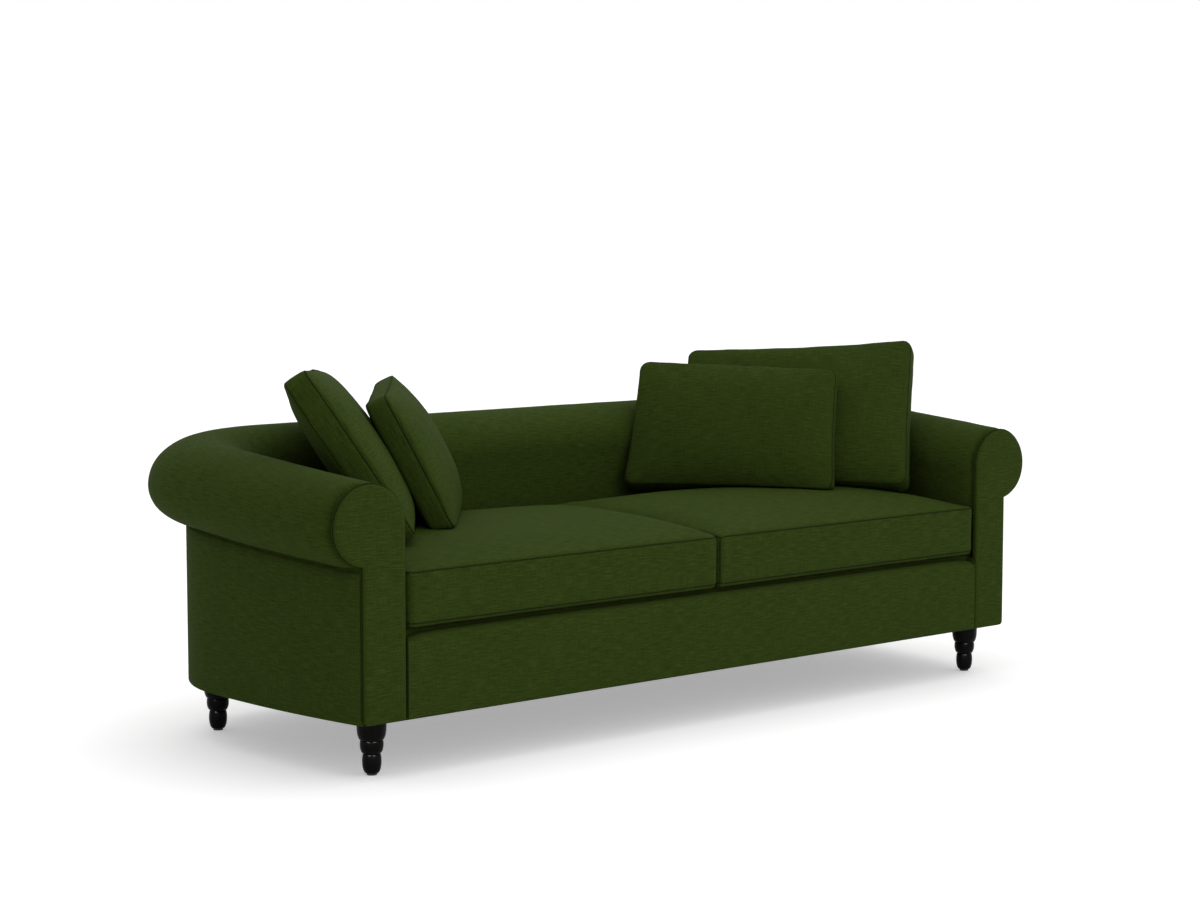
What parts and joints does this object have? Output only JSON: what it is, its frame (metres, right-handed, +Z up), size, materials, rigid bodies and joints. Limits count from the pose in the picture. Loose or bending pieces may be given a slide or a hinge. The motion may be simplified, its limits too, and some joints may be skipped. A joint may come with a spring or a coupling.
{
  "type": "rolled arm sofa",
  "caption": "Low rolled arm sofa with bowed ends, a roll that runs round arms and back, loose seat cushions, boxed pillows and turned legs.",
  "frame": {"origin": "on the floor, under the middle of the sofa's bounding box", "axes": "+X along the length to the right of someone facing the sofa, +Y from the front to the back, +Z up"},
  "size_m": [2.404, 0.997, 0.9097],
  "materials": {
    "upholstery": "matte slub weave",
    "welt": "matte slub weave, rolled on the bias",
    "frame_wood": "sawn",
    "leg_finish": "gloss lacquer",
    "webbing": "woven",
    "deck_cloth": "matte",
    "dust_cloth": "matte",
    "steel": "plated",
    "glide_plastic": "matte"
  },
  "bodies": {
    "sofa_frame": {"arm_facing_left": "upholstery", "arm_facing_right": "upholstery", "arm_plate_left": "frame_wood", "arm_plate_right": "frame_wood", "arm_ribs_left": "frame_wood", "arm_ribs_right": "frame_wood", "arm_roll_left": "upholstery", "arm_roll_right": "upholstery", "back_plate": "frame_wood", "back_ribs": "frame_wood", "back_roll": "upholstery", "base_plate_back": "frame_wood", "base_plate_front": "frame_wood", "base_plate_left": "frame_wood", "base_plate_right": "frame_wood", "centre_stretchers": "frame_wood", "cross_webbing": "webbing", "deck_pad": "deck_cloth", "dust_cover": "dust_cloth", "facing_board_left": "frame_wood", "facing_board_right": "frame_wood", "facing_welt_left": "welt", "facing_welt_right": "welt", "floor_glides": "glide_plastic", "front_border": "upholstery", "front_left_leg": "leg_finish", "front_rail": "frame_wood", "front_right_leg": "leg_finish", "inside_arm_left": "upholstery", "inside_arm_right": "upholstery", "inside_back": "upholstery", "leg_blocks": "frame_wood", "leg_bolts": "steel", "lengthwise_webbing": "webbing", "outside_arm_left": "upholstery", "outside_arm_right": "upholstery", "outside_back": "upholstery", "rear_left_leg": "leg_finish", "rear_right_leg": "leg_finish", "rear_seat_rail": "frame_wood", "side_seat_rail_left": "frame_wood", "side_seat_rail_right": "frame_wood", "tee_nuts": "steel"},
    "seat_cushion_left": {"seat_cushion_left": "upholstery"},
    "seat_cushion_right": {"seat_cushion_right": "upholstery"},
    "large_pillow_left": {"large_pillow_left": "upholstery"},
    "large_pillow_right": {"large_pillow_right": "upholstery"},
    "small_pillow_left": {"small_pillow_left": "upholstery"},
    "small_pillow_right": {"small_pillow_right": "upholstery"}
  },
  "joints": [
    {"name": "seat_cushion_left_lift", "type": "slide", "parent": "sofa_frame", "child": "seat_cushion_left", "axis": [0, 0, 1], "range_m": [0, 0.45]},
    {"name": "large_pillow_left_lift", "type": "slide", "parent": "seat_cushion_left", "child": "large_pillow_left", "axis": [0, 0, 1], "range_m": [0, 0.45]},
    {"name": "small_pillow_left_lift", "type": "slide", "parent": "large_pillow_left", "child": "small_pillow_left", "axis": [0.6994, -0.4542, 0.5519], "range_m": [0, 0.35]},
    {"name": "seat_cushion_right_lift", "type": "slide", "parent": "sofa_frame", "child": "seat_cushion_right", "axis": [0, 0, 1], "range_m": [0, 0.45]},
    {"name": "large_pillow_right_lift", "type": "slide", "parent": "seat_cushion_right", "child": "large_pillow_right", "axis": [0, 0, 1], "range_m": [0, 0.45]},
    {"name": "small_pillow_right_lift", "type": "slide", "parent": "large_pillow_right", "child": "small_pillow_right", "axis": [-0.6994, -0.4542, 0.5519], "range_m": [0, 0.35]}
  ]
}
